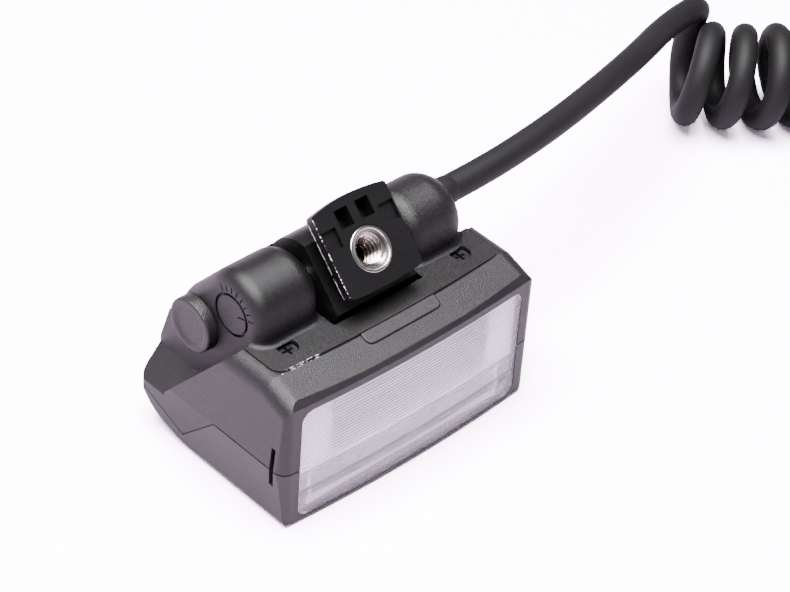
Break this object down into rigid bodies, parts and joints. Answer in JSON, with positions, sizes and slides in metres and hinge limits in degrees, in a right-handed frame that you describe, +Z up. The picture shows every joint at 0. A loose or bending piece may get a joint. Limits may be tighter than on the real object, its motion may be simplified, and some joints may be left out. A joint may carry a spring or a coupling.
{
  "type": "macro flash head",
  "caption": "Compact rectangular macro flash head with a ribbed window, a tilting shoe foot with a threaded insert, and a curly cord with a plug.",
  "frame": {"origin": "middle of the flat underside that the head rests on, on the plane midway between its ends", "axes": "-Y is the way the window faces, +X runs along the window towards the cord, +Z is up"},
  "size_m": [0.2499, 0.0796, 0.0517],
  "materials": {
    "body_plastic": "fine textured dark grey",
    "foot_plastic": "near-black satin",
    "button_plastic": "satin dark grey",
    "window_clear": "ribbed clear plastic",
    "reflector_metal": "bright",
    "tube_glass": "clear",
    "boot_rubber": "pale silicone",
    "board_green": "lacquered",
    "component_black": "moulded",
    "coil_copper": "wound",
    "tray_white": "white",
    "lamp_glass": "clear",
    "screw_steel": "black oxide",
    "steel": "bright",
    "insert_nickel": "nickel plated",
    "cord_rubber": "matte",
    "plug_black": "satin",
    "pin_gold": "plated"
  },
  "bodies": {
    "head": {"upper_shell": "body_plastic", "lower_shell": "body_plastic", "hinge_cover": "body_plastic", "window_lens": "window_clear", "reflector": "reflector_metal", "flash_tube": "tube_glass", "tube_boots": "boot_rubber", "circuit_board": "board_green", "board_parts": "component_black", "trigger_coil": "coil_copper", "lamp_tray": "tray_white", "focus_lamps": "lamp_glass", "cover_screws": "screw_steel", "base_screws": "screw_steel", "button_spring": "steel", "cord_grommet": "cord_rubber", "cord_wires": "cord_rubber", "cord_lead": "cord_rubber", "curly_cord": "cord_rubber", "cord_tail": "cord_rubber", "plug_boot": "cord_rubber", "plug_shell": "plug_black", "plug_insulator": "plug_black", "plug_pins": "pin_gold"},
    "foot": {"shoe_foot": "foot_plastic", "threaded_insert": "insert_nickel", "hinge_axle": "steel", "index_dial": "button_plastic", "ratchet_wheel": "steel", "axle_clip": "steel"},
    "button": {"release_button": "button_plastic"}
  },
  "joints": [
    {"name": "foot_tilt", "type": "hinge", "parent": "head", "child": "foot", "pos_m": [0, 0.0024, 0.0358], "axis": [-1, 0, 0], "range_deg": [0, 90]},
    {"name": "button_press", "type": "slide", "parent": "head", "child": "button", "axis": [1, 0, 0], "range_m": [0, 0.0022], "stiffness_N_per_m": 400, "springref_m": -0.001, "deforming": ["button_spring"]}
  ]
}
